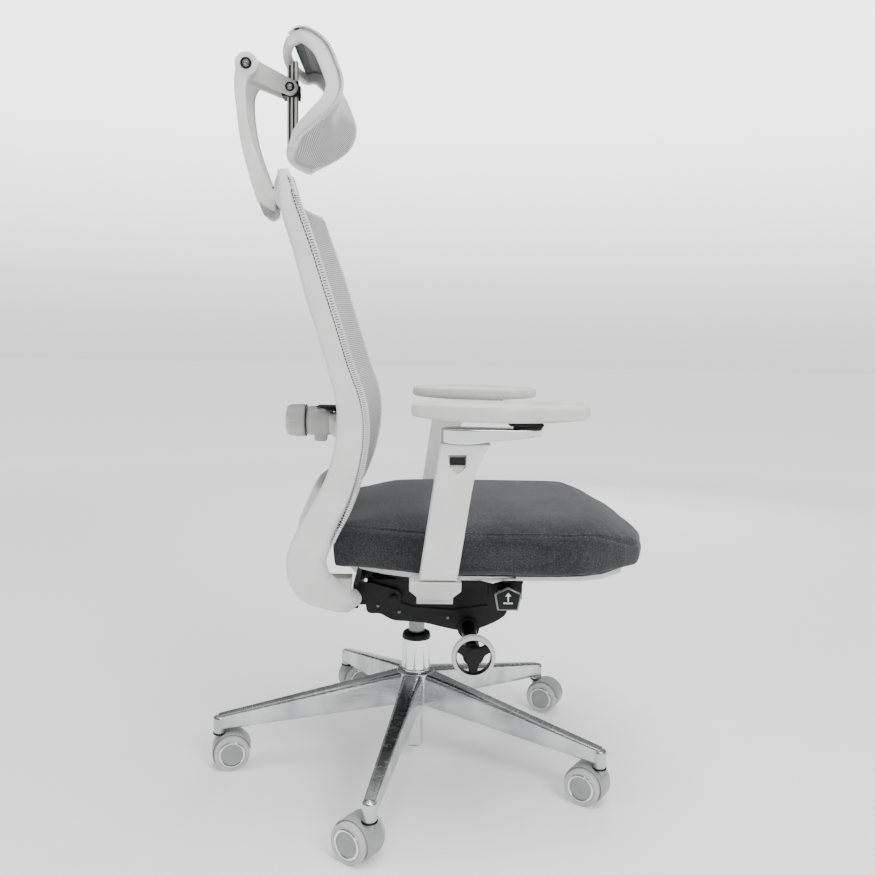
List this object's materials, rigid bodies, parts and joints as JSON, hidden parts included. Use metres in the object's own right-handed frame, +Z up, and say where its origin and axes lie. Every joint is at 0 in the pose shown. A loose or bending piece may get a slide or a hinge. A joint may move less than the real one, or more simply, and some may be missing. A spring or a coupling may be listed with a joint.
{
  "type": "swivel office chair",
  "caption": "Five-star swivel chair on twin-wheel casters with gas lift, synchro tilt, padded seat, mesh back with lumbar unit, adjustable arms and headrest.",
  "frame": {"origin": "where the gas lift's axis meets the floor", "axes": "+Z up; the sitter faces -Y, with the right hand at -X"},
  "size_m": [0.7161, 0.7197, 1.2241],
  "materials": {
    "aluminium": "polished and lightly brushed",
    "chrome": "bright chrome plate",
    "steel": "satin",
    "black_plastic": "moulded black nylon",
    "black_steel": "black powder coat",
    "grey_plastic": "moulded light grey nylon",
    "white_plastic": "moulded warm white nylon",
    "tread": "light grey polyurethane",
    "pad_skin": "soft white polyurethane skin",
    "seat_cloth": "heathered dark grey woven cloth",
    "net": "light grey elastic net with fine ribs"
  },
  "bodies": {
    "base": {"base_star": "aluminium", "lift_tube": "chrome", "lift_guide_cap": "black_plastic", "lift_piston_rod": "steel", "lift_retaining_clip": "steel"},
    "caster_1": {"caster_1_housing": "grey_plastic"},
    "caster_1_wheel_a": {"caster_1_wheel_a": "tread"},
    "caster_1_wheel_b": {"caster_1_wheel_b": "tread"},
    "caster_2": {"caster_2_housing": "grey_plastic"},
    "caster_2_wheel_a": {"caster_2_wheel_a": "tread"},
    "caster_2_wheel_b": {"caster_2_wheel_b": "tread"},
    "caster_3": {"caster_3_housing": "grey_plastic"},
    "caster_3_wheel_a": {"caster_3_wheel_a": "tread"},
    "caster_3_wheel_b": {"caster_3_wheel_b": "tread"},
    "caster_4": {"caster_4_housing": "grey_plastic"},
    "caster_4_wheel_a": {"caster_4_wheel_a": "tread"},
    "caster_4_wheel_b": {"caster_4_wheel_b": "tread"},
    "caster_5": {"caster_5_housing": "grey_plastic"},
    "caster_5_wheel_a": {"caster_5_wheel_a": "tread"},
    "caster_5_wheel_b": {"caster_5_wheel_b": "tread"},
    "lift": {"lift_cylinder": "chrome"},
    "mechanism": {"mechanism_housing": "black_steel", "tilt_spring": "steel", "seat_axle": "steel", "back_axle": "steel"},
    "back": {"back_yoke": "black_steel", "back_frame": "white_plastic", "back_mesh": "net", "lumbar_bar": "white_plastic", "headrest_fork": "white_plastic", "headrest_bolt_upper": "steel"},
    "seat": {"seat_carrier": "black_steel", "seat_pan": "grey_plastic", "seat_cushion": "seat_cloth", "arm_bracket_right": "grey_plastic", "arm_bracket_left": "grey_plastic"},
    "tension_knob": {"tension_shaft": "black_plastic", "tension_wheel": "grey_plastic"},
    "height_paddle": {"height_paddle": "black_plastic"},
    "tilt_lock_paddle": {"tilt_lock_paddle": "black_plastic"},
    "arm_right": {"arm_sleeve_right": "white_plastic"},
    "arm_button_right": {"arm_button_right": "black_plastic"},
    "arm_link_right": {"arm_link_right": "chrome"},
    "arm_pad_plate_right": {"arm_pad_plate_right": "black_plastic"},
    "arm_pad_right": {"arm_pad_right": "pad_skin"},
    "arm_left": {"arm_sleeve_left": "white_plastic"},
    "arm_button_left": {"arm_button_left": "black_plastic"},
    "arm_link_left": {"arm_link_left": "chrome"},
    "arm_pad_plate_left": {"arm_pad_plate_left": "black_plastic"},
    "arm_pad_left": {"arm_pad_left": "pad_skin"},
    "lumbar_knob": {"lumbar_knob": "grey_plastic"},
    "lumbar_pad": {"lumbar_pad": "grey_plastic"},
    "headrest_link": {"headrest_link": "white_plastic", "headrest_bolt_lower": "steel"},
    "headrest_slider": {"headrest_slider": "black_plastic"},
    "headrest": {"headrest_frame": "white_plastic", "headrest_mesh": "net"}
  },
  "joints": [
    {"name": "lift_height", "type": "slide", "parent": "base", "child": "lift", "axis": [0, 0, 1], "range_m": [0, 0.1]},
    {"name": "seat_swivel", "type": "hinge", "parent": "lift", "child": "mechanism", "pos_m": [0, 0, 0.3], "axis": [0, 0, 1], "continuous": true},
    {"name": "back_recline", "type": "hinge", "parent": "mechanism", "child": "back", "pos_m": [0, 0.04, 0.3168], "axis": [-1, 0, 0], "range_deg": [0, 18], "stiffness_Nm_per_rad": 70, "springref_deg": -22.92},
    {"name": "seat_tilt", "type": "hinge", "parent": "mechanism", "child": "seat", "pos_m": [0, -0.125, 0.3428], "axis": [-1, 0, 0], "range_deg": [0, 6]},
    {"name": "tension_knob_turn", "type": "hinge", "parent": "mechanism", "child": "tension_knob", "pos_m": [-0.15, -0.087, 0.2638], "axis": [-1, 0, 0], "range_deg": [-360, 360]},
    {"name": "height_paddle_lift", "type": "hinge", "parent": "seat", "child": "height_paddle", "pos_m": [-0.197, -0.136, 0.3598], "axis": [0, 1, 0], "range_deg": [0, 6], "stiffness_Nm_per_rad": 1.5, "springref_deg": -5.73},
    {"name": "tilt_lock_paddle_lift", "type": "hinge", "parent": "seat", "child": "tilt_lock_paddle", "pos_m": [0.197, -0.136, 0.3598], "axis": [0, -1, 0], "range_deg": [0, 6], "stiffness_Nm_per_rad": 1.5, "springref_deg": -5.73},
    {"name": "arm_height_right", "type": "slide", "parent": "seat", "child": "arm_right", "axis": [0, -0.1392, 0.9903], "range_m": [0, 0.08]},
    {"name": "arm_button_right_press", "type": "slide", "parent": "arm_right", "child": "arm_button_right", "axis": [1, 0, 0], "range_m": [0, 0.0016], "stiffness_N_per_m": 600, "springref_m": -0.002},
    {"name": "arm_link_right_swing", "type": "hinge", "parent": "arm_right", "child": "arm_link_right", "pos_m": [-0.294, -0.06155, 0.6], "axis": [0, 0, 1], "range_deg": [-25, 25]},
    {"name": "arm_pad_right_swivel", "type": "hinge", "parent": "arm_link_right", "child": "arm_pad_plate_right", "pos_m": [-0.294, -0.15155, 0.62], "axis": [0, 0, 1], "range_deg": [-25, 25]},
    {"name": "arm_pad_right_slide", "type": "slide", "parent": "arm_pad_plate_right", "child": "arm_pad_right", "axis": [0, -1, 0], "range_m": [-0.03, 0.03]},
    {"name": "arm_height_left", "type": "slide", "parent": "seat", "child": "arm_left", "axis": [0, -0.1392, 0.9903], "range_m": [0, 0.08]},
    {"name": "arm_button_left_press", "type": "slide", "parent": "arm_left", "child": "arm_button_left", "axis": [-1, 0, 0], "range_m": [0, 0.0016], "stiffness_N_per_m": 600, "springref_m": -0.002},
    {"name": "arm_link_left_swing", "type": "hinge", "parent": "arm_left", "child": "arm_link_left", "pos_m": [0.294, -0.06155, 0.6], "axis": [0, 0, 1], "range_deg": [-25, 25]},
    {"name": "arm_pad_left_swivel", "type": "hinge", "parent": "arm_link_left", "child": "arm_pad_plate_left", "pos_m": [0.294, -0.15155, 0.62], "axis": [0, 0, 1], "range_deg": [-25, 25]},
    {"name": "arm_pad_left_slide", "type": "slide", "parent": "arm_pad_plate_left", "child": "arm_pad_left", "axis": [0, -1, 0], "range_m": [-0.03, 0.03]},
    {"name": "lumbar_knob_turn", "type": "hinge", "parent": "back", "child": "lumbar_knob", "pos_m": [0, 0.2, 0.6048], "axis": [0, 1, 0], "range_deg": [0, 360]},
    {"name": "lumbar_depth", "type": "slide", "parent": "back", "child": "lumbar_pad", "axis": [0, -1, 0], "range_m": [0, 0.01]},
    {"name": "headrest_link_pivot", "type": "hinge", "parent": "back", "child": "headrest_link", "pos_m": [0, 0.292, 1.1868], "axis": [1, 0, 0], "range_deg": [-20, 8]},
    {"name": "headrest_tilt", "type": "hinge", "parent": "headrest_link", "child": "headrest_slider", "pos_m": [0, 0.224, 1.1568], "axis": [1, 0, 0], "range_deg": [-8, 18]},
    {"name": "headrest_height", "type": "slide", "parent": "headrest_slider", "child": "headrest", "axis": [0, 0, 1], "range_m": [-0.016, 0.025]},
    {"name": "caster_1_swivel", "type": "hinge", "parent": "base", "child": "caster_1", "pos_m": [-0.04286, 0.3393, 0.06], "axis": [0, 0, 1], "continuous": true},
    {"name": "caster_2_swivel", "type": "hinge", "parent": "base", "child": "caster_2", "pos_m": [-0.33594, 0.06408, 0.06], "axis": [0, 0, 1], "continuous": true},
    {"name": "caster_3_swivel", "type": "hinge", "parent": "base", "child": "caster_3", "pos_m": [-0.16476, -0.2997, 0.06], "axis": [0, 0, 1], "continuous": true},
    {"name": "caster_4_swivel", "type": "hinge", "parent": "base", "child": "caster_4", "pos_m": [0.23412, -0.24931, 0.06], "axis": [0, 0, 1], "continuous": true},
    {"name": "caster_5_swivel", "type": "hinge", "parent": "base", "child": "caster_5", "pos_m": [0.30945, 0.14562, 0.06], "axis": [0, 0, 1], "continuous": true},
    {"name": "caster_1_wheel_a_spin", "type": "hinge", "parent": "caster_1", "child": "caster_1_wheel_a", "pos_m": [-0.03871, 0.31974, 0.03], "axis": [-0.9781, -0.2079, 0], "continuous": true},
    {"name": "caster_1_wheel_b_spin", "type": "hinge", "parent": "caster_1", "child": "caster_1_wheel_b", "pos_m": [-0.03871, 0.31974, 0.03], "axis": [-0.9781, -0.2079, 0], "continuous": true},
    {"name": "caster_2_wheel_a_spin", "type": "hinge", "parent": "caster_2", "child": "caster_2_wheel_a", "pos_m": [-0.32447, 0.08047, 0.03], "axis": [0.8191, -0.5736, 0], "continuous": true},
    {"name": "caster_2_wheel_b_spin", "type": "hinge", "parent": "caster_2", "child": "caster_2_wheel_b", "pos_m": [-0.32447, 0.08047, 0.03], "axis": [0.8191, -0.5736, 0], "continuous": true},
    {"name": "caster_3_wheel_a_spin", "type": "hinge", "parent": "caster_3", "child": "caster_3_wheel_a", "pos_m": [-0.15358, -0.28312, 0.03], "axis": [0.829, -0.5592, 0], "continuous": true},
    {"name": "caster_3_wheel_b_spin", "type": "hinge", "parent": "caster_3", "child": "caster_3_wheel_b", "pos_m": [-0.15358, -0.28312, 0.03], "axis": [0.829, -0.5592, 0], "continuous": true},
    {"name": "caster_4_wheel_a_spin", "type": "hinge", "parent": "caster_4", "child": "caster_4_wheel_a", "pos_m": [0.22473, -0.26697, 0.03], "axis": [-0.8829, 0.4695, 0], "continuous": true},
    {"name": "caster_4_wheel_b_spin", "type": "hinge", "parent": "caster_4", "child": "caster_4_wheel_b", "pos_m": [0.22473, -0.26697, 0.03], "axis": [-0.8829, 0.4695, 0], "continuous": true},
    {"name": "caster_5_wheel_a_spin", "type": "hinge", "parent": "caster_5", "child": "caster_5_wheel_a", "pos_m": [0.31759, 0.12735, 0.03], "axis": [-0.9135, -0.4067, 0], "continuous": true},
    {"name": "caster_5_wheel_b_spin", "type": "hinge", "parent": "caster_5", "child": "caster_5_wheel_b", "pos_m": [0.31759, 0.12735, 0.03], "axis": [-0.9135, -0.4067, 0], "continuous": true}
  ],
  "couplings": [
    {"joint": "seat_tilt", "follows": "back_recline", "ratio": 0.3333},
    {"joint": "lumbar_knob_turn", "follows": "lumbar_depth", "rad_per_m": 628}
  ]
}
